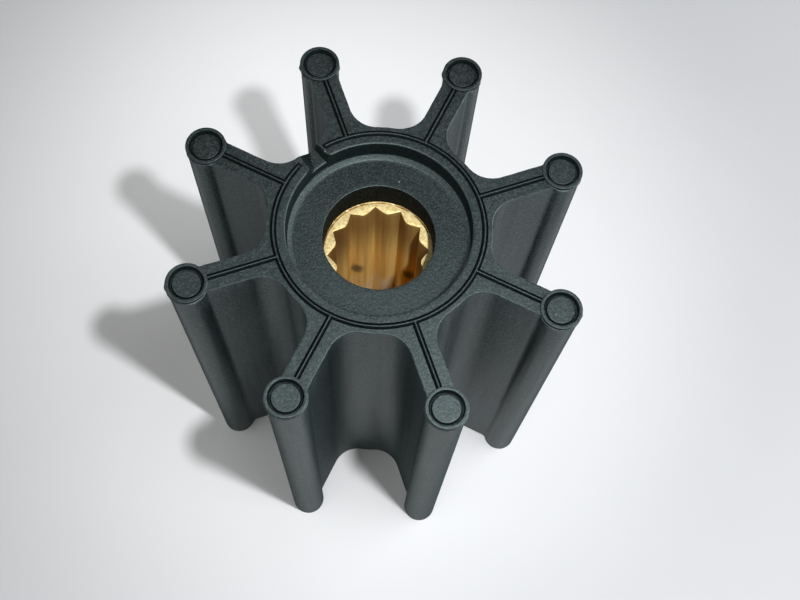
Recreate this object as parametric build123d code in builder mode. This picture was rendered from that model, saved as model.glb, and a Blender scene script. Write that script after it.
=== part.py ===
from build123d import *
import math
import os

# A flexible marine pump impeller. A hub with straight radial blades and round bulb tips is
# moulded in black rubber round a bronze insert, and the bore of the insert is splined to fit
# the pump shaft. It stands on its far end with the origin in the middle of that end, and +Z
# runs along the shaft to the near end, where the mould parts. All lengths are millimetres.

# ---- Whole impeller ----
overall_length = 75.6        # over the bulb rims
tip_diameter = 65.0          # across the bulbs, in the free state
blade_count = 8
first_blade_angle = 22.5     # degrees from +X

# ---- Splined bore and insert ----
spline_teeth = 12
spline_major_diameter = 16.0
spline_groove_angle = 98.0   # degrees between the two flanks of a groove
spline_crest_radius = 1.2    # rounding of the teeth between the grooves
spline_phase = 7.4           # degrees from +X to the first groove
insert_wall = 3.0            # outside the spline grooves

# ---- Hub ----
hub_wall = 5.9               # rubber outside the insert, at the near end
rim_width = 2.9              # hub side to the wall of the end recess
recess_depth = 3.7           # below the web face
recess_mouth_chamfer = 0.4
recess_foot_width = 0.95     # sloping foot between the recess wall and its floor
recess_foot_height = 0.6
insert_cover = 6.1           # rubber that laps over each end of the insert
shaft_clearance = 0.6        # round the shaft, in the hole through that rubber

# ---- Blades ----
bulb_diameter = 6.0
web_thickness = 4.1          # at the near end
mould_draft = 0.384          # degrees, hub and webs run smaller towards the far end
root_radius = 4.5            # web into hub, at the near end
root_radius_far = 5.0
neck_radius = 1.0            # web into bulb, at the near end
neck_radius_far = 1.5

# ---- Bulb ends ----
rim_height = 0.5             # raised rim round the end of a bulb, above the web face
rim_band = 0.55
pad_groove_width = 0.5       # sunk ring between the rim and the middle of the near end
pad_groove_depth = 0.6       # below the web face

# ---- Fine sealing bead round the hub and along each web ----
bead_inset = 1.1             # hub side to the middle of the bead
bead_width = 0.3
bead_height = 0.22
bead_groove_width = 0.33
bead_groove_depth = 0.5

# ---- Relief slot across the hub rim, at the near end only ----
slot_width = 3.0             # at the floor
slot_depth = 1.5
slot_flank_angle = 14.0      # degrees from upright
slot_border = 0.42           # plain strip between the slot and the ends of the bead

# Levels, radii and angles that follow from the sizes above
near_face = overall_length - rim_height
far_face = rim_height
face_span = near_face - far_face
draft_run = (face_span - slot_depth) * math.tan(math.radians(mould_draft))
blade_pitch = 360 / blade_count
spline_radius = spline_major_diameter / 2
insert_radius = spline_radius + insert_wall
hub_radius = insert_radius + hub_wall
recess_radius = hub_radius - rim_width
recess_floor = near_face - recess_depth
hole_radius = spline_radius + shaft_clearance
insert_near = recess_floor - insert_cover
insert_far = far_face + recess_depth + insert_cover
bulb_radius = bulb_diameter / 2
bulb_circle_radius = tip_diameter / 2 - bulb_radius
land_floor = near_face - slot_depth
bead_band = bead_width + 2 * bead_groove_width
slot_angle = first_blade_angle + 2.5 * blade_pitch
slot_mouth = slot_width + 2 * slot_depth * math.tan(math.radians(slot_flank_angle))
slot_gap = slot_mouth + 2 * slot_border


def blade_plan(level, inset, root, neck):
    """Outline of hub, webs and bulbs, with the hub and webs drawn in by the draft."""
    hub_edge = hub_radius - inset
    half_web = web_thickness / 2 - inset
    with BuildSketch(Plane.XY.offset(level), mode=Mode.PRIVATE) as plan:
        Circle(hub_edge)
        with PolarLocations(0, blade_count, start_angle=first_blade_angle):
            Rectangle(bulb_circle_radius, 2 * half_web, align=(Align.MIN, Align.CENTER))
        roots = plan.vertices().filter_by(
            lambda v: math.isclose(math.hypot(v.X, v.Y), hub_edge, abs_tol=0.01))
        # The rounding keeps within the pocket that two neighbouring webs leave at the hub
        half_pitch_sine = math.sin(math.radians(blade_pitch / 2))
        root_limit = (hub_edge * half_pitch_sine - half_web) / (1 - half_pitch_sine)
        root = min(root, 0.95 * root_limit)
        fillet(roots, root)
        with PolarLocations(bulb_circle_radius, blade_count, start_angle=first_blade_angle):
            Circle(bulb_radius)
        necks = plan.vertices().filter_by(
            lambda v: hub_edge + root < math.hypot(v.X, v.Y) < bulb_circle_radius)
        fillet(necks, neck)
    return plan.sketch


def bead_plan(level, ring_radius, width, gap):
    """Ring round the hub with a spoke along each web, stopped at the bulb rims and at a gap."""
    with BuildSketch(Plane.XY.offset(level), mode=Mode.PRIVATE) as plan:
        Circle(ring_radius + width / 2)
        Circle(ring_radius - width / 2, mode=Mode.SUBTRACT)
        with PolarLocations(ring_radius, blade_count, start_angle=first_blade_angle):
            Rectangle(bulb_circle_radius - ring_radius, width, align=(Align.MIN, Align.CENTER))
        with PolarLocations(bulb_circle_radius, blade_count, start_angle=first_blade_angle):
            Circle(bulb_radius, mode=Mode.SUBTRACT)
        if gap > 0:
            Rectangle(hub_radius, gap, rotation=slot_angle, align=(Align.MIN, Align.CENTER),
                      mode=Mode.SUBTRACT)
    return plan.sketch


# ---- Rubber moulding ----
with BuildPart() as rubber_impeller:
    # Hub, webs and bulbs grow fuller from the far face to a straight land under the near face
    near_plan = blade_plan(land_floor, 0, root_radius, neck_radius)
    far_plan = blade_plan(far_face, draft_run, root_radius_far, neck_radius_far)
    loft([far_plan, near_plan])
    extrude(near_plan, amount=slot_depth)

    # Recess and shaft hole at each end, with the closed seat of the insert between them
    with BuildSketch(Plane.XZ):
        with BuildLine():
            Polyline(
                (0, overall_length / 2),
                (insert_radius, overall_length / 2),
                (insert_radius, insert_near),
                (hole_radius, insert_near),
                (hole_radius, recess_floor),
                (recess_radius - recess_foot_width, recess_floor),
                (recess_radius, recess_floor + recess_foot_height),
                (recess_radius, near_face),
                (0, near_face),
                close=True,
            )
        make_face()
        mirror(about=Plane.XZ.offset(-overall_length / 2))
    revolve(axis=Axis.Z, mode=Mode.SUBTRACT)
    mouths = rubber_impeller.edges().filter_by(GeomType.CIRCLE).filter_by(
        lambda e: math.isclose(e.radius, recess_radius, abs_tol=0.01)
        and abs(abs(e.center().Z - overall_length / 2) - face_span / 2) < 0.01)
    chamfer(mouths, recess_mouth_chamfer)

    # Sealing bead in its groove, and a raised rim on each bulb, alike at both ends
    for level, outward, hub_edge, gap in (
        (near_face, 1, hub_radius, slot_gap),
        (far_face, -1, hub_radius - draft_run, 0),
    ):
        bead_radius = hub_edge - bead_inset
        groove_floor = level - outward * bead_groove_depth
        extrude(bead_plan(level, bead_radius, bead_band, gap),
                amount=-outward * bead_groove_depth, mode=Mode.SUBTRACT)
        extrude(bead_plan(groove_floor, bead_radius, bead_width, gap),
                amount=outward * (bead_groove_depth + bead_height))

        with BuildSketch(Plane.XY.offset(level)):
            with PolarLocations(bulb_circle_radius, blade_count, start_angle=first_blade_angle):
                Circle(bulb_radius)
                Circle(bulb_radius - rim_band, mode=Mode.SUBTRACT)
        extrude(amount=outward * rim_height)

    # A sunk ring inside each near rim leaves a round pad in the middle
    with BuildSketch(Plane.XY.offset(near_face)):
        with PolarLocations(bulb_circle_radius, blade_count, start_angle=first_blade_angle):
            Circle(bulb_radius - rim_band)
            Circle(bulb_radius - rim_band - pad_groove_width, mode=Mode.SUBTRACT)
    extrude(amount=-pad_groove_depth, mode=Mode.SUBTRACT)

    # The slot crosses the hub rim in the middle of one pocket
    slot_section = Plane(
        origin=(0, 0, near_face),
        x_dir=(-math.sin(math.radians(slot_angle)), math.cos(math.radians(slot_angle)), 0),
        z_dir=(math.cos(math.radians(slot_angle)), math.sin(math.radians(slot_angle)), 0),
    )
    with BuildSketch(slot_section.offset(recess_radius - recess_foot_width)):
        Polygon(
            (-slot_width / 2, -slot_depth),
            (slot_width / 2, -slot_depth),
            (slot_mouth / 2, 0),
            (-slot_mouth / 2, 0),
            align=None,
        )
    extrude(amount=rim_width + recess_foot_width + root_radius, mode=Mode.SUBTRACT)

rubber_impeller.part.label = "rubber_impeller"


# ---- Bronze insert ----
with BuildPart() as splined_insert:
    with BuildSketch(Plane.XY.offset(insert_far)):
        Circle(insert_radius)
    extrude(amount=insert_near - insert_far)

    # Twelve V grooves meet at rounded teeth, so the bore is a star of kites
    half_groove = math.radians(spline_groove_angle / 2)
    half_tooth = math.radians(180 / spline_teeth)
    tip_radius = spline_radius * math.sin(half_groove) / math.sin(half_groove + half_tooth)
    tip_x = tip_radius * math.cos(half_tooth)
    tip_y = tip_radius * math.sin(half_tooth)
    with BuildSketch(Plane.XY.offset(insert_far)) as spline_bore:
        with PolarLocations(0, spline_teeth, start_angle=spline_phase):
            Polygon((0, 0), (tip_x, -tip_y), (spline_radius, 0), (tip_x, tip_y), align=None)
        crests = spline_bore.vertices().filter_by(
            lambda v: math.isclose(math.hypot(v.X, v.Y), tip_radius, abs_tol=0.01))
        fillet(crests, spline_crest_radius)
    extrude(amount=insert_near - insert_far, mode=Mode.SUBTRACT)

splined_insert.part.label = "splined_insert"


os.makedirs("parts", exist_ok=True)
export_step(rubber_impeller.part, "parts/rubber_impeller.step")
export_step(splined_insert.part, "parts/splined_insert.step")
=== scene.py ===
import math

import bmesh
import bpy
import numpy as np
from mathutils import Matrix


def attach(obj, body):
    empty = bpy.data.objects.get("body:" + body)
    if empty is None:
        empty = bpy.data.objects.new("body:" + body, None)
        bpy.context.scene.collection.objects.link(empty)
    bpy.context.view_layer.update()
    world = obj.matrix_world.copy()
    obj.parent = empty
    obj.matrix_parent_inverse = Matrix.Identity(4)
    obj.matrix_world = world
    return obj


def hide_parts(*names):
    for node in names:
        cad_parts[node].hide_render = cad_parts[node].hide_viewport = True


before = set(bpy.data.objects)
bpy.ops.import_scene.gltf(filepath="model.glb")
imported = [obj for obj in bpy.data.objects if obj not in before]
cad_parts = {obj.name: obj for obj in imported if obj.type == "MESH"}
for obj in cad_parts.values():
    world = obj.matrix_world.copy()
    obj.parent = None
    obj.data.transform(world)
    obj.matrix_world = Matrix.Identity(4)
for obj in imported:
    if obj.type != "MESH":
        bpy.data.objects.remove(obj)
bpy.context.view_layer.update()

# ---- Rubber moulding ----
# One piece of black rubber: a hub with a recess at each end, eight straight webs and eight
# bulbs, moulded round the bronze insert. The mould parts just under the near face and leaves
# a thin lip of flash there; a fine bead in a groove runs round each end to seal on the covers.

MM = 0.001
blade_angles = np.radians(22.5 + 45 * np.arange(8))
half_pitch = math.radians(22.5)
bulb_centre, bulb_radius = 29.5, 3.0
near_plane, far_plane = 75.1, 0.5
land_floor = 73.6
recess_radius, recess_floor, hole_radius = 14.0, 71.4, 8.6
near_plan = dict(hub=16.9, half_web=2.05, root=4.5, neck=1.0)
far_plan = dict(hub=16.41, half_web=1.56, root=5.0, neck=1.5)
near_ring, far_ring = 15.8, 15.31
bead_half_band = 0.48
land_radius = bulb_radius + 0.015
slot_direction = math.radians(135)
slot_depth, slot_gap_half, bead_end = 1.5, 2.295, 2.56

# Rows run from the middle of a pocket to the tip of a bulb. The first ones keep a fixed
# distance from the middle line of the pocket, so that they lie along the slot.
slot_rows = np.array([0, 0.25, 0.5, 0.75, 1.0, 1.2, 1.35, 1.42, 1.5, 1.58, 1.68, 1.76, 1.84, 1.92,
                      2.05, 2.27, 2.33, 2.51, 2.6])
ring_rows, root_steps, web_steps, neck_steps, tip_steps = 7, 12, 12, 7, 23


def half_outline(hub, half_web, root, neck, parts):
    """Half of one pitch of the outline: an arc round the hub, a rounding of radius root whose
    middle is root away from hub and web, the straight web side, a rounding of radius neck
    into the bulb, and the bulb's own arc to its tip. Gives points and outward directions."""
    hub_share, root_share, web_share, neck_share, tip_share = parts
    root_y = half_web + root
    root_x = math.sqrt((hub + root) ** 2 - root_y ** 2)
    root_angle = math.atan2(root_y, root_x)
    neck_y = half_web + neck
    neck_x = bulb_centre - math.sqrt((bulb_radius + neck) ** 2 - neck_y ** 2)
    neck_angle = math.atan2(neck_y, neck_x - bulb_centre)
    pieces = []
    turn = half_pitch + (root_angle - half_pitch) * hub_share
    out = np.stack([np.cos(turn), np.sin(turn)], -1)
    pieces.append((hub * out, out))
    turn = math.pi + root_angle + (math.pi / 2 - root_angle) * root_share
    out = -np.stack([np.cos(turn), np.sin(turn)], -1)
    pieces.append((np.array([root_x, root_y]) - root * out, out))
    run = root_x + (neck_x - root_x) * web_share
    pieces.append((np.stack([run, run * 0 + half_web], -1),
                   np.stack([run * 0, run * 0 + 1], -1)))
    turn = -math.pi / 2 + (neck_angle - math.pi / 2) * neck_share
    out = -np.stack([np.cos(turn), np.sin(turn)], -1)
    pieces.append((np.array([neck_x, neck_y]) - neck * out, out))
    turn = neck_angle * (1 - tip_share)
    out = np.stack([np.cos(turn), np.sin(turn)], -1)
    pieces.append((np.array([bulb_centre, 0]) + bulb_radius * out, out))
    return [np.concatenate(each) for each in zip(*pieces)]


# Where the rounding into the web crosses each of the slot rows
fine = np.linspace(0, 1, 800)
nothing = np.zeros(0)
curve = half_outline(**near_plan, parts=(nothing, fine, nothing, nothing, nothing))[0]
from_middle = curve @ np.array([math.sin(half_pitch), -math.cos(half_pitch)])
on_hub = slot_rows[slot_rows < from_middle[0]]
on_root = np.interp(slot_rows[len(on_hub):], from_middle, fine)
hub_rows = np.arcsin(on_hub / near_plan["hub"]) / np.arcsin(from_middle[0] / near_plan["hub"])
root_rows = np.concatenate([on_root, np.linspace(on_root[-1], 1, root_steps + 1)[1:]])
parts = (hub_rows, root_rows) + tuple(
    np.linspace(0, 1, count + 1)[1:] for count in (web_steps, neck_steps, tip_steps))
near_points, near_out = half_outline(**near_plan, parts=parts)
far_points, far_out = half_outline(**far_plan, parts=parts)
corner_row = len(slot_rows) + ring_rows - 1
neck_row = len(near_points) - tip_steps - 1
bulb_share = np.clip((np.arange(len(near_points)) - neck_row + neck_steps) / neck_steps, 0, 1)


def grid(rows, columns):
    """A grid whose points hold x, y, z, outward x, outward y, flash, the heights of the bead's
    groove and of the bead on it, and how far the point follows the slot down."""
    return np.zeros((rows, columns, 9))


def wall():
    """The upright side: each column is a level, and its outline goes evenly from the far plan
    to the near one. The last columns carry the flash lip, which reaches out by its share."""
    foot = far_plane + np.array([0.1, 0.4])
    middle = np.linspace(far_plane + 1.2, land_floor - 1.2, 3)
    land = near_plane - np.array([1.5, 0.6])
    lip = near_plane - np.array([0.36, 0.26, 0.2, 0.15, 0.11, 0.08, 0.05])
    level = np.concatenate([foot, middle, land, lip])
    land_column = len(foot) + len(middle)
    lip_column = land_column + len(land)
    flash = np.concatenate([np.zeros(lip_column), [0.12, 0.5, 0.9, 1.0, 0.8, 0.3, 0]])
    sink = np.concatenate([np.zeros(land_column), [0.6], np.ones(len(level) - land_column - 1)])
    share = np.clip((level - far_plane) / (land_floor - far_plane), 0, 1)[None, :, None]
    side = grid(len(near_points), len(level))
    side[..., 0:2] = far_points[:, None] * (1 - share) + near_points[:, None] * share
    side[..., 2] = level
    side[..., 3:5] = far_out[:, None] * (1 - share) + near_out[:, None] * share
    side[..., 5] = flash * (0.06 + 0.12 * bulb_share[:, None])
    # Round a bulb the lip lies lower, and the edge over it is fuller than on web and hub
    side[neck_row + 1:, lip_column:, 2] -= 0.2
    side[:, -1, 0:2] += near_out * (0.03 * bulb_share - 0.015)[:, None]
    side[..., 8] = sink
    return side


def ring_angles(radius, last):
    """Angle of each hub row where it meets a circle: the slot rows keep their distance from
    the middle of the pocket, the others are spread evenly to the last angle."""
    first = half_pitch - np.arcsin(slot_rows / radius)
    return np.concatenate([first, np.linspace(first[-1], last, ring_rows + 1)[1:]])


def bead_profile():
    """Distance in from the edge of the bead's groove, depth of the groove, and how much higher
    the bead is: down one steep wall, up the other, and over the narrow rounded top."""
    inward = np.array([0, 0.012, 0.10, 0.155, 0.20, 0.29, 0.34, 0.37, 0.40, 0.435, 0.48])
    groove = np.array([0, -0.03, -0.42, -0.52, -0.5, -0.45, -0.45, -0.45, -0.45, -0.45, -0.45])
    bead = np.array([0, 0, 0, 0, 0.08, 0.37, 0.53, 0.60, 0.64, 0.665, 0.67])
    return inward, groove, bead


def end_face(side, plane, outward, ring_radius):
    """The face between the outline and the bead: each row goes from the outline, over its
    rounded edge and the flat, to the middle of the bead. Hub rows end on the ring and web
    rows on the spoke, which meet in a mitre; the last row follows the circle of the bulb."""
    rows = neck_row + 1
    edge = side[:rows, -1 if outward > 0 else 0]
    points, out = edge[:, 0:2], edge[:, 3:5]
    inward, groove, ridge = bead_profile()
    spoke_rows = np.linspace(0, 1, rows - corner_row)
    bead = np.zeros((rows, len(inward), 2))
    for column, step in enumerate(inward):
        across = bead_half_band - step
        radius = ring_radius + across
        angle = ring_angles(radius, math.asin(across / radius))
        bead[:corner_row + 1, column] = radius * np.stack([np.cos(angle), np.sin(angle)], -1)
        start = math.sqrt(radius ** 2 - across ** 2)
        stop = bulb_centre - math.sqrt(land_radius ** 2 - across ** 2)
        bead[corner_row:, column, 0] = start + (stop - start) * spoke_rows
        bead[corner_row:, column, 1] = across
    tuck = np.clip((neck_row - np.arange(rows)) / 6, 0, 1)[:, None]
    inset = np.array([0.02, 0.05, 0.12])
    rise = np.array([-0.012, -0.002, 0])
    rim = points[:, None] - out[:, None] * (inset[None, :, None] * tuck[..., None])
    share = np.array([0.12, 0.5, 0.9])[None, :, None]
    flat_column = 1 + len(inset)
    bead_column = flat_column + share.size
    flat = rim[:, -1:] * (1 - share) + bead[:, :1] * share
    # The last row bends out to the bulb's circle, and the rows before it by less
    bend = np.concatenate([np.zeros(corner_row), spoke_rows])[:, None, None]
    off_centre = flat[-1] - np.array([bulb_centre, 0])
    onto = off_centre * (land_radius / np.hypot(*off_centre.T)[:, None] - 1)
    flat = flat + onto[None] * bend
    face = grid(rows, bead_column + len(inward))
    face[:, 0] = edge
    face[:, 1:flat_column, 0:2] = rim
    face[:, 1:flat_column, 2] = plane + outward * rise * (0.2 + 0.8 * tuck)
    face[:, flat_column:bead_column, 0:2] = flat
    face[:, flat_column:, 2] = plane
    face[:, bead_column:, 0:2] = bead
    face[:, bead_column:, 6] = outward * groove
    face[:, bead_column:, 7] = outward * ridge
    face[..., 8] = max(outward, 0)
    return face


def bulb_end(face, side, plane, outward, profile):
    """The round end of a bulb: the first row is its edge, the web's last row and then the
    wall's own, and each further one is a circle of the profile, closed in the middle."""
    edge = np.concatenate([face[-1, ::-1], side[neck_row + 1:, -1 if outward > 0 else 0]])
    angle = np.arctan2(edge[:, 1], edge[:, 0] - bulb_centre)
    end = grid(len(edge), 1 + len(profile))
    end[:, 0] = edge
    radius, height = np.array(profile).T
    end[:, 1:, 0] = bulb_centre + radius * np.cos(angle)[:, None]
    end[:, 1:, 1] = radius * np.sin(angle)[:, None]
    end[:, 1:, 2] = plane + outward * height
    return end


def hub_inside():
    """The hub turned about the shaft: from the middle of the near bead over the land, down
    the recess, through the shaft hole, round the seat of the insert, and the same way out."""
    inward, groove, ridge = bead_profile()
    radius = list(near_ring - bead_half_band + inward[::-1])
    level = [near_plane] * len(inward)
    # Radius and height: the rim's flat and rounded mouth, the upper wall, the lower wall with
    # the sloping foot, the floor, the shaft hole, and its flare over the insert's face
    rim = [(14.95, 0), (14.4, 0), (14.25, -0.012), (14.12, -0.05), (14.04, -0.12),
           (14.005, -0.22), (recess_radius, -0.5)]
    recess = rim + [(recess_radius, -2.0), (recess_radius, -2.95), (13.97, -3.05), (13.88, -3.14),
                    (13.33, -3.56), (13.18, -3.66), (13.0, -3.695), (12.6, -3.7), (10.8, -3.7),
                    (9.3, -3.7), (8.78, -3.7), (8.66, -3.715), (8.61, -3.76), (hole_radius, -3.85),
                    (hole_radius, -6.0), (hole_radius, -8.9), (8.7, -9.2), (8.98, -9.35),
                    (8.98, -9.8), (11.0, -9.8)]
    radius += [r for r, _ in recess] + [r for r, _ in recess[::-1]]
    level += [near_plane + h for _, h in recess] + [far_plane - h for _, h in recess[::-1]]
    radius += list(far_ring - bead_half_band + inward)
    level += [far_plane] * len(inward)
    flat = [0] * (2 * len(recess))
    angle = np.stack([ring_angles(max(r, recess_radius), 0) for r in radius], 1)
    inside = grid(corner_row + 1, len(radius))
    inside[..., 0] = np.array(radius) * np.cos(angle)
    inside[..., 1] = np.array(radius) * np.sin(angle)
    inside[..., 2] = level
    inside[..., 6] = list(groove[::-1]) + flat + list(-groove)
    inside[..., 7] = list(ridge[::-1]) + flat + list(-ridge)
    # The rim goes all the way down with the slot, and the wall below it by less and less
    with_slot = len(inward) + len(rim)
    inside[:, :with_slot, 8] = 1
    inside[:, with_slot:with_slot + 2, 8] = [0.4, 0.06]
    return inside


# Radius and height from the edge of a bulb's end to its middle. The near end has a narrow
# crevice, the raised rim with its overhang, the sunk ring and the pad; the far end is plain.
near_rim = [(3.005, -0.28), (2.985, -0.33), (2.955, -0.5), (2.91, -0.56), (2.87, -0.5),
            (2.85, -0.3), (2.85, 0.22), (2.88, 0.27), (3.05, 0.29), (3.1, 0.33), (3.1, 0.42),
            (3.085, 0.465), (3.05, 0.495), (3.0, 0.5), (2.67, 0.5), (2.63, 0.49), (2.61, 0.45),
            (2.57, -0.2), (2.46, -0.5), (2.33, -0.6), (2.2, -0.5), (2.11, -0.1), (2.085, -0.03),
            (2.05, -0.005), (2.0, 0), (1.86, 0), (1.0, 0), (0, 0)]
far_rim = [(3.0, 0.0), (3.0, 0.3), (2.985, 0.42), (2.94, 0.48), (2.87, 0.5), (2.6, 0.5),
           (2.52, 0.48), (2.47, 0.42), (2.45, 0.3), (2.43, 0.05), (2.38, 0.01), (2.3, 0),
           (1.2, 0), (0, 0)]

side = wall()
near_face = end_face(side, near_plane, 1, near_ring)
far_face = end_face(side, far_plane, -1, far_ring)
grids = [side, near_face, far_face, hub_inside(),
         bulb_end(near_face, side, near_plane, 1, near_rim),
         bulb_end(far_face, side, far_plane, -1, far_rim)]


def all_round(grids):
    """Every grid and its mirror image, turned to each blade: x and y, and the outward
    direction, go through the same turn. Gives the points and the corners of the faces."""
    points, faces, count = [], [], 0
    for one in grids:
        rows, columns = one.shape[:2]
        number = np.arange(rows * columns).reshape(rows, columns)
        square = np.stack([number[:-1, :-1], number[1:, :-1], number[1:, 1:], number[:-1, 1:]], -1)
        for mirror in (1, -1):
            for angle in blade_angles:
                copy = one.reshape(-1, 9).copy()
                c, s = math.cos(angle), math.sin(angle)
                for a, b in ((0, 1), (3, 4)):
                    x, y = copy[:, a].copy(), copy[:, b] * mirror
                    copy[:, a] = c * x - s * y
                    copy[:, b] = s * x + c * y
                points.append(copy)
                faces.append(square.reshape(-1, 4)[:, ::mirror] + count)
                count += len(copy)
    return np.concatenate(points), np.concatenate(faces)


def ripple(x, y, seed, longest, shortest):
    """Smooth irregular change over a plane, about -1 to 1: sines of seeded directions."""
    random = np.random.default_rng(seed)
    total = 0
    for length in np.geomspace(longest, shortest, 9):
        turn, phase = random.uniform(0, 2 * math.pi, 2)
        along = x * math.cos(turn) + y * math.sin(turn)
        total = total + np.sin(2 * math.pi / length * along + phase)
    return total / 3.5


points, faces = all_round(grids)
x, y = points[:, 0].copy(), points[:, 1].copy()
# Flash: an uneven lip all round the parting line, with a few torn nibs, each given by its
# place, its spread and how much further it reaches
uneven = np.clip(0.9 + 0.4 * ripple(x, y, 5, 7, 0.9), 0.25, 1.8)
nibs = [(-25.0, -7.94, 0.5, 1.5), (-24.2, -7.3, 0.35, 2.5), (-23.5, -7.1, 0.3, 1.5),
        (-14.4, 26.7, 0.35, 0.8), (-7.9, 27.1, 0.35, 0.9), (12.7, -24.0, 0.4, 2.2),
        (30.5, -10.2, 0.4, 0.7), (30.6, -11.9, 0.4, 0.8), (-30.4, -11.2, 1.3, 0.9),
        (-28.6, -8.8, 1.0, 0.6)]
for nib_x, nib_y, spread, reach in nibs:
    uneven = uneven + reach * np.exp(-((x - nib_x) ** 2 + (y - nib_y) ** 2) / spread ** 2)
points[:, 0:2] += points[:, 3:5] * (points[:, 5] * uneven)[:, None]


def turned(x, y, direction):
    """Distance along a direction in the plane, and to its left: x and y turned back by it."""
    return (x * np.cos(direction) + y * np.sin(direction),
            y * np.cos(direction) - x * np.sin(direction))


# The slot across the hub rim. Its right flank is steep; its left one leans more and more
# towards the outside, and the corners of the land beside it are rounded.
along, across = turned(x, y, slot_direction)
# The mouth widens where the land rounds over into the recess
corner = np.clip(recess_radius + 0.45 - along, 0, 1) ** 2
left_foot = np.interp(along, [13.9, 14.2, 14.6, 15.5, 16.4, 17.2],
                      [1.74, 1.05, 0.62, 0.35, -0.2, -0.6])
left_mouth = 1.7 + 1.8 * corner
right_foot, right_mouth = 1.42 + 0.4 * corner, 1.87 + 1.2 * corner
share = np.minimum((left_mouth - across) / (left_mouth - left_foot),
                   (right_mouth + across) / (right_mouth - right_foot))
in_slot_pocket = along > 10
drop = slot_depth * np.clip(share, 0, 1) * in_slot_pocket
off_middle = np.abs(across)
points[:, 7] *= 1 - in_slot_pocket * (off_middle < bead_end)
points[:, 6:8] *= 1 - (in_slot_pocket * (off_middle < slot_gap_half))[:, None]
points[:, 2] += points[:, 6] + points[:, 7] - points[:, 8] * drop


def closed_mesh(name, points, faces):
    """A mesh in metres with its doubled points merged and its faces turned outward."""
    mesh = bpy.data.meshes.new(name)
    mesh.from_pydata((points[:, :3] * MM).tolist(), [], faces.tolist())
    work = bmesh.new()
    work.from_mesh(mesh)
    bmesh.ops.remove_doubles(work, verts=work.verts, dist=1e-6)
    bmesh.ops.dissolve_degenerate(work, edges=work.edges, dist=1e-7)
    bmesh.ops.recalc_face_normals(work, faces=work.faces)
    work.to_mesh(mesh)
    work.free()
    mesh.polygons.foreach_set("use_smooth", np.ones(len(mesh.polygons), bool))
    piece = bpy.data.objects.new(name, mesh)
    bpy.context.scene.collection.objects.link(piece)
    return piece


rubber = closed_mesh("rubber_moulding", points, faces)
rubber.data.set_sharp_from_angle(angle=math.radians(42))


class Shade:
    """A socket of a material. Sums, differences and products of it add Math nodes."""

    def __init__(self, tree, socket=None):
        self.tree = tree
        self.socket = socket

    def node(self, kind, settings=None, sockets=None, output=0):
        """Adds a node: its settings first, then the values or links of its sockets."""
        made = self.tree.nodes.new("ShaderNode" + kind)
        for key, value in (settings or {}).items():
            setattr(made, key, value)
        for key, value in (sockets or {}).items():
            if isinstance(value, Shade):
                self.tree.links.new(value.socket, made.inputs[key])
            else:
                made.inputs[key].default_value = value
        return Shade(self.tree, made.outputs[output])

    def math(self, operation, first, second):
        return self.node("Math", {"operation": operation}, {0: first, 1: second})

    def __add__(self, other):
        return self.math("ADD", self, other)

    def __sub__(self, other):
        return self.math("SUBTRACT", self, other)

    def __mul__(self, other):
        return self.math("MULTIPLY", self, other)

    def __rsub__(self, other):
        return self.math("SUBTRACT", other, self)

    __radd__ = __add__
    __rmul__ = __mul__

    def smooth(self, low, high):
        """0 below low and 1 above high, with a soft step between."""
        return self.node("MapRange", {"interpolation_type": "SMOOTHSTEP"},
                         {"Value": self, "From Min": low, "From Max": high})

    def mix(self, first, second):
        """From the first colour to the second as this goes from 0 to 1."""
        return self.node("Mix", {"data_type": "RGBA"}, {0: self, 6: first, 7: second}, 2)


def new_material(name, **plain):
    """A material with one Principled shader, its plain values set on its own sockets."""
    made = bpy.data.materials.new(name)
    made.use_nodes = True
    shader = made.node_tree.nodes["Principled BSDF"]
    for key, value in plain.items():
        shader.inputs[key.replace("_", " ")].default_value = value
    return made, Shade(made.node_tree), shader


def noise(shade, place, scale, detail=2.0, rough=0.5):
    """Cloudy change over a surface, with scale cells in a metre."""
    return shade.node("TexNoise", None, {"Vector": place, "Scale": scale, "Detail": detail,
                                         "Roughness": rough})


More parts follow.
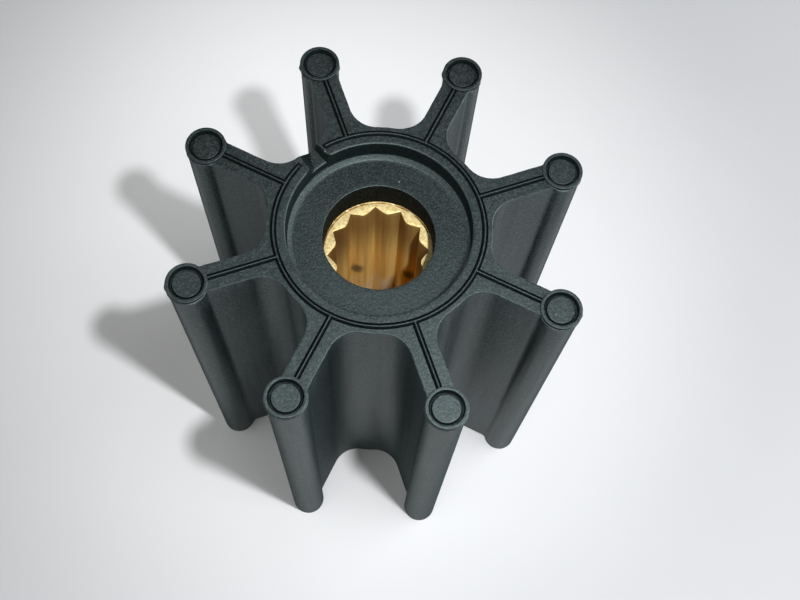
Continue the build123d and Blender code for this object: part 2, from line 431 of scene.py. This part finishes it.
def rubber_finish(name, level, rough, tint, streaks, dull, dark, pale):
    """Black rubber with a faint blue-green bloom: clouded and finely grained, with specks of
    dust. Its gloss is duller at a glancing look, as the grain hides it there. Streaks are the
    marks that the mould's cores leave along the upright walls."""
    made, shade, shader = new_material(name, Specular_IOR_Level=level, IOR=1.5, Specular_Tint=tint)
    place = shade.node("TexCoord", output=3)
    cloud = noise(shade, place, 70.0, 4.0)
    grain = noise(shade, place, 1900.0, 3.0, 0.65)
    fine_grain = noise(shade, place, 3600.0, 2.0, 0.7)
    stretched = shade.node("Mapping", None, {"Vector": place, "Scale": (1.0, 1.0, 0.03)})
    streak = noise(shade, stretched, 900.0, 3.0, 0.6)
    colour = (cloud.smooth(0.3, 0.7) * 0.15).mix(dark, pale)
    colour = (grain.smooth(0.45, 0.75) * 0.5).mix(colour, pale)
    colour = fine_grain.smooth(0.50, 0.64).mix(colour, pale)
    colour = (streak.smooth(0.50, 0.66) * streaks).mix(colour, dark)
    # A speck of dust in about one cell of seventeen
    cells = {"Vector": place, "Scale": 420.0}
    from_middle = shade.node("TexVoronoi", None, cells)
    chance = shade.node("TexWhiteNoise", None, {"Vector": shade.node("TexVoronoi", None, cells, 1)})
    speck = (1 - from_middle.smooth(0.03, 0.085)) * chance.smooth(0.93, 0.95)
    colour = (speck * 0.55).mix(colour, (0.30, 0.31, 0.30, 1))
    shade.tree.links.new(colour.socket, shader.inputs["Base Color"])
    glancing = shade.node("LayerWeight", None, {"Blend": 0.5}, 1).smooth(dull, 0.97)
    uneven = rough + (grain - 0.5) * 0.2 + (cloud - 0.5) * 0.08 + speck * 0.3 + glancing * 0.4
    shade.tree.links.new(uneven.socket, shader.inputs["Roughness"])
    bump = shade.node("Bump", None, {"Strength": 0.8, "Distance": 0.0001,
                                     "Height": grain * 0.6 + fine_grain * 0.4})
    bump = shade.node("Bump", None, {"Strength": streaks * 0.6, "Distance": 0.00006,
                                     "Height": streak, "Normal": bump})
    shade.tree.links.new(bump.socket, shader.inputs["Normal"])
    return made


# The end faces lie flat against the mould's plates and come out duller than the walls. The shaft
# hole stays raw and almost black. The steep sides of grooves and rims, the recess wall and the
# slot's sides get a near-black painted shade.
rubber_finishes = [
    rubber_finish("rubber_face", level=0.67, rough=0.52, tint=(0.78, 1.0, 1.0, 1), streaks=0.0,
                  dull=0.45, dark=(0.0003, 0.0020, 0.0021, 1), pale=(0.0300, 0.0370, 0.0390, 1)),
    rubber_finish("rubber_wall", level=0.20, rough=0.41, tint=(0.60, 1.0, 1.0, 1), streaks=0.5,
                  dull=0.75, dark=(0.0010, 0.0030, 0.0032, 1), pale=(0.0400, 0.0560, 0.0580, 1)),
    rubber_finish("rubber_hole", level=0.12, rough=0.80, tint=(0.9, 0.9, 0.8, 1), streaks=0.0,
                  dull=0.45, dark=(0.0010, 0.0020, 0.0018, 1), pale=(0.0120, 0.0150, 0.0130, 1)),
    # The near-black colour of this finish is painted shade for grooves, crevices, the recess wall
    # and the slot's sides
    rubber_finish("rubber_groove_painted_shade", level=0.18, rough=0.70, tint=(0.7, 1.0, 1.0, 1), streaks=0.0,
                  dull=0.45, dark=(0.0003, 0.0016, 0.0016, 1), pale=(0.0080, 0.0110, 0.0115, 1))]
for finish in rubber_finishes:
    rubber.data.materials.append(finish)
face_slot, wall_slot, hole_slot, painted_shade_slot = range(4)

# Every face of the mesh is sorted by how much it looks up or down and by where its middle is
count = len(rubber.data.polygons)
facing, middles = np.zeros(count * 3), np.zeros(count * 3)
rubber.data.polygons.foreach_get("normal", facing)
rubber.data.polygons.foreach_get("center", middles)
flatness = np.abs(facing[2::3])
x, y, z = (middles.reshape(-1, 3) / MM).T
reach = np.hypot(x, y)
lip_level, rim_inside, bead_half_groove, ring_outside = near_plane - 0.35, 2.6, 0.6, 16.7
on_face = (flatness > 0.5) | (z > lip_level)
in_hole = (reach < 9.0) & (z < recess_floor - 0.05)
pitches = np.round((np.arctan2(y, x) - blade_angles[0]) / (2 * half_pitch)).astype(int)
along, across = turned(x, y, blade_angles[pitches % len(blade_angles)])
in_rim = np.hypot(along - bulb_centre, across) < rim_inside
on_bead = (np.abs(across) < bead_half_groove) & (along < bulb_centre)
sunk = (z > land_floor - 0.05) & (in_rim | on_bead | (reach < ring_outside))
# Steep sides in the sunk parts and on the recess wall get the near-black finish: painted shade
painted_shade_faces = (flatness < 0.72) & (sunk | (reach < recess_radius + 0.2))
# The sides of the slot, between its floor and the land, get the painted shade too
along, across = turned(x, y, slot_direction)
between_levels = (z > land_floor + 0.05) & (z < near_plane - 0.15)
across_rim = (along > recess_radius - 1) & (along < near_plan["hub"])
painted_shade_faces |= across_rim & (np.abs(across) < 2.2) & between_levels
finish_of = np.where(on_face, face_slot, wall_slot)
finish_of = np.where(painted_shade_faces, painted_shade_slot, finish_of)
finish_of = np.where(in_hole, hole_slot, finish_of)
rubber.data.polygons.foreach_set("material_index", finish_of.astype(np.int32))
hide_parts("rubber_impeller")
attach(rubber, "root")

# ---- Bronze insert ----
# A plain bronze tube held in the rubber. Twelve V grooves broached through its bore fit the
# pump shaft; the near face is bare inside the shaft hole, with a ragged collar beside the
# rubber.

insert_near, insert_far, insert_radius = 65.3, 10.3, 11.0
broken_edge = 0.12
tooth_count, spline_radius, crest_radius = 12, 8.0, 1.2
spline_phase = math.radians(7.4)
half_groove, half_tooth = math.radians(49), math.radians(15)


def tooth_outline(count):
    """Half a tooth from the bottom of a groove: along its straight flank to where the flank
    touches the crest's rounding, then round the crest to its middle."""
    apex = spline_radius * math.sin(half_groove) / math.sin(half_groove + half_tooth)
    lean = half_groove + half_tooth
    centre_radius = apex + crest_radius / math.sin(lean)
    middle = np.array([math.cos(half_tooth), math.sin(half_tooth)])
    sideways = np.array([-middle[1], middle[0]])
    turn = np.linspace(math.pi / 2 - lean, 0, count)[:, None]
    crest = middle * (centre_radius - crest_radius * np.cos(turn))
    crest = crest - sideways * crest_radius * np.sin(turn)
    share = np.linspace(0, 1, count)[:-1, None] ** 1.4
    flank = np.array([spline_radius, 0]) * (1 - share) + crest[0] * share
    return np.concatenate([flank, crest])


def insert_shell():
    """The tube as one closed grid: rows go round the bore, and columns down the broached
    bore, over the far face, up the outside and back over the near face, each edge broken."""
    half = tooth_outline(9)
    flip = half[-2:0:-1]
    turn = 2 * half_tooth
    back = np.stack([flip[:, 0] * math.cos(turn) + flip[:, 1] * math.sin(turn),
                     flip[:, 0] * math.sin(turn) - flip[:, 1] * math.cos(turn)], -1)
    tooth = np.concatenate([half, back])
    angles = spline_phase + turn * np.arange(tooth_count)
    c, s = np.cos(angles)[:, None], np.sin(angles)[:, None]
    star = np.stack([c * tooth[:, 0] - s * tooth[:, 1], s * tooth[:, 0] + c * tooth[:, 1]], -1)
    star = star.reshape(-1, 2)
    radius = np.hypot(*star.T)[:, None]
    way = star / radius
    rounding = insert_radius - 0.4
    down = np.concatenate([[insert_near - broken_edge],
                           np.linspace(insert_near - 1, insert_far + 1, 9),
                           [insert_far + broken_edge]])
    columns = [(radius, level) for level in down]
    columns += [(radius + 0.04, insert_far + 0.03), (radius + broken_edge, insert_far)]
    for share in (0.2, 0.5, 0.8):
        columns.append(((radius + broken_edge) * (1 - share) + rounding * share, insert_far))
    columns += [(rounding, insert_far), (10.9, insert_far + 0.1),
                (insert_radius, insert_far + 0.4), (insert_radius, insert_near - 0.4),
                (10.9, insert_near - 0.1), (rounding, insert_near)]
    # The collar and its groove, just inside the rubber, then the flat of the near face
    for out, lift in ((8.97, 0), (8.93, 0.06), (8.87, 0.10), (8.81, 0.06), (8.75, -0.12),
                      (8.68, -0.16), (8.61, -0.12), (8.55, 0), (8.4, 0), (8.2, 0)):
        columns.append((out, insert_near + lift))
    columns += [(radius + broken_edge, insert_near), (radius + 0.04, insert_near - 0.03)]
    shell = np.zeros((len(star), len(columns), 3))
    for number, (reach, level) in enumerate(columns):
        shell[:, number, 0:2] = way * reach
        shell[:, number, 2] = level
    rows, count = shell.shape[:2]
    number = np.arange(rows * count).reshape(rows, count)
    beside, after = np.roll(number, -1, 0), np.roll(number, -1, 1)
    faces = np.stack([number, beside, np.roll(beside, -1, 1), after], -1).reshape(-1, 4)
    return shell.reshape(-1, 3), faces


insert_points, insert_faces = insert_shell()
# The collar beside the rubber is ragged, and its groove is clogged in places
x, y, z = insert_points.T
lift = z - insert_near
collar = (np.hypot(x, y) > 8.5) & (np.hypot(x, y) < 9.0) & (np.abs(lift) < 0.3)
ragged = np.clip(0.9 + 0.9 * ripple(x, y, 8, 5, 0.5), 0, 2)
insert_points[:, 2] = np.where(collar, insert_near + lift * ragged, z)
insert = closed_mesh("bronze_insert", insert_points, insert_faces)
insert.data.set_sharp_from_angle(angle=math.radians(38))

bronze, shade, shader = new_material("bronze", Specular_IOR_Level=0.3)
place = shade.node("TexCoord", output=3)
height = shade.node("SeparateXYZ", None, {0: place}, 2)
stretched = shade.node("Mapping", None, {"Vector": place, "Scale": (1.0, 1.0, 0.02)})
streak = noise(shade, stretched, 750.0, 4.0, 0.65)
broad = noise(shade, stretched, 260.0, 2.0, 0.5)
mottle = noise(shade, place, 1500.0, 3.0, 0.6)
patch = noise(shade, place, 130.0, 3.0, 0.6)
in_bore = 1 - height.smooth(0.06525, 0.0653)
face_tint = mottle.smooth(0.35, 0.7).mix((0.95, 0.80, 0.42, 1), (0.64, 0.48, 0.19, 1))
bore_tint = streak.smooth(0.36, 0.66).mix((1.0, 0.73, 0.24, 1), (0.80, 0.47, 0.12, 1))
bore_tint = (broad.smooth(0.48, 0.62) * 0.65).mix(bore_tint, (0.40, 0.24, 0.08, 1))
# Browner and darker towards the near end, partly a brown tone and partly painted shade on the upper
# bore, and with pale dry patches deep down
browned_and_shaded = height.smooth(0.047, 0.062) * (0.3 + broad * 1.1)
bore_tint = browned_and_shaded.mix(bore_tint, (0.25, 0.125, 0.035, 1))
dry = (1 - height.smooth(0.035, 0.042)) * patch.smooth(0.40, 0.58) * 0.55
bore_tint = dry.mix(bore_tint, (0.92, 0.84, 0.66, 1))
# Two smears of old grease part of the way down
for spot in ((-0.0039, 0.0066, 0.0433), (0.0055, 0.0054, 0.0450)):
    offset = shade.node("VectorMath", {"operation": "SUBTRACT"}, {0: place, 1: spot})
    offset = shade.node("VectorMath", {"operation": "MULTIPLY"}, {0: offset, 1: (1.0, 1.0, 0.62)})
    reach = shade.node("VectorMath", {"operation": "LENGTH"}, {0: offset}, 1)
    reach = reach + (mottle - 0.5) * 0.0008
    bore_tint = ((1 - reach.smooth(0.0005, 0.0017)) * 0.85).mix(bore_tint, (0.13, 0.11, 0.06, 1))
tint = in_bore.mix(face_tint, bore_tint)
shade.tree.links.new(tint.socket, shader.inputs["Base Color"])
rough = 0.46 + mottle * 0.14 + streak * 0.06
shade.tree.links.new(rough.socket, shader.inputs["Roughness"])
shade.tree.links.new((0.55 - in_bore * 0.35).socket, shader.inputs["Metallic"])
bump = shade.node("Bump", None, {"Strength": 0.4, "Distance": 0.00005,
                                 "Height": streak * in_bore + mottle * 0.4})
shade.tree.links.new(bump.socket, shader.inputs["Normal"])
insert.data.materials.append(bronze)
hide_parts("splined_insert")
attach(insert, "root")

# ---- Paper under the impeller ----
# A large sheet of smooth white paper, lying flat; it isn't part of the object.

span, lines = 0.66, 9
edge = np.linspace(-span, span, lines)
grid_x, grid_y = np.meshgrid(edge, edge, indexing="ij")
sheet_points = np.stack([grid_x, grid_y, grid_x * 0], -1).reshape(-1, 3)
number = np.arange(lines * lines).reshape(lines, lines)
sheet_faces = np.stack([number[:-1, :-1], number[1:, :-1], number[1:, 1:], number[:-1, 1:]], -1)
sheet = bpy.data.meshes.new("paper")
sheet.from_pydata(sheet_points.tolist(), [], sheet_faces.reshape(-1, 4).tolist())
paper = bpy.data.objects.new("paper", sheet)
bpy.context.scene.collection.objects.link(paper)
white_paper, shade, shader = new_material("white_paper", Roughness=0.75, Specular_IOR_Level=0.2)
place = shade.node("TexCoord", output=3)
stain = noise(shade, place, 14.0, 5.0, 0.55)
fibre = noise(shade, place, 900.0, 3.0)
# Painted light: a pool of the lamp's light is painted on the paper, palest beside the impeller and
# greyer further off
middle = (-0.0155, 0.0359, 0.0)
from_light_pool = shade.node("VectorMath", {"operation": "DISTANCE"}, {0: place, 1: middle}, 1)
tone = from_light_pool.smooth(0.035, 0.11).mix((0.885, 0.895, 0.920, 1), (0.555, 0.565, 0.590, 1))
tone = (stain.smooth(0.35, 0.7) * 0.12 + fibre * 0.06).mix(tone, (0.70, 0.71, 0.73, 1))
shade.tree.links.new(tone.socket, shader.inputs["Base Color"])
sheet.materials.append(white_paper)

# ---- Light and camera ----
# A small lamp beside the camera, a wide low one on the right, and a surround that lights from
# the left and is dark overhead.

lamp = bpy.data.lights.new("key", "AREA")
lamp.shape = "DISK"
lamp.size = 0.009
lamp.energy = 0.37
key = bpy.data.objects.new("key", lamp)
key.location = (0.0328, -0.0484, 0.2288)
bpy.context.scene.collection.objects.link(key)

side_lamp = bpy.data.lights.new("side", "AREA")
side_lamp.shape = "RECTANGLE"
side_lamp.size = 0.38
side_lamp.size_y = 1.3
side_lamp.energy = 10.4
side_fill = bpy.data.objects.new("side", side_lamp)
side_fill.location = (0.7, 0, 0.2)
side_fill.rotation_euler = (0, math.radians(77), 0)
bpy.context.scene.collection.objects.link(side_fill)

world = bpy.data.worlds.new("surround")
bpy.context.scene.world = world
world.use_nodes = True
shade = Shade(world.node_tree)
background = world.node_tree.nodes["Background"]
# The eye sees a plain pale surround, and gloss sees it low down; the rest only gives light
paths = [shade.node("LightPath", output=name) for name in
         ("Is Camera Ray", "Is Glossy Ray", "Is Transmission Ray")]
way = shade.node("TexCoord", output=0)
up = shade.node("SeparateXYZ", None, {0: way}, 2)
east = shade.node("SeparateXYZ", None, {0: way}, 0).smooth(-0.35, 0.35)
overhead = (0.0, 0.36, 0.93)
ceiling = shade.node("VectorMath", {"operation": "DOT_PRODUCT"}, {0: way, 1: overhead}, 1)
seen = paths[0] + (paths[1] + paths[2]) * (1 - up.smooth(0.25, 0.35))
shadow = (0.02, 0.02, 0.02, 1)
tone = east.mix((1.25, 1.26, 1.20, 1), shadow)
tone = ceiling.smooth(0.5, 0.8).mix(tone, shadow)
tone = seen.mix(tone, (0.80, 0.82, 0.85, 1))
world.node_tree.links.new(tone.socket, background.inputs["Color"])
background.inputs["Strength"].default_value = 1.0

lens = bpy.data.cameras.new("camera")
lens.lens = 48.311
lens.sensor_width = 36
lens.clip_start = 0.005
camera = bpy.data.objects.new("camera", lens)
# The camera's own right, down and forward directions, and where it stands
right = np.array([0.997538, 0.060251, 0.035886])
down = np.array([0.069136, -0.930670, -0.359269])
forward = np.array([0.011752, 0.360866, -0.932544])
matrix = np.eye(4)
matrix[:3, 0], matrix[:3, 1], matrix[:3, 2] = right, -down, -forward
matrix[:3, 3] = (0.001933, -0.067694, 0.220340)
camera.matrix_world = matrix.T.tolist()
bpy.context.scene.collection.objects.link(camera)
bpy.context.scene.camera = camera
bpy.context.scene.view_settings.view_transform = "Standard"
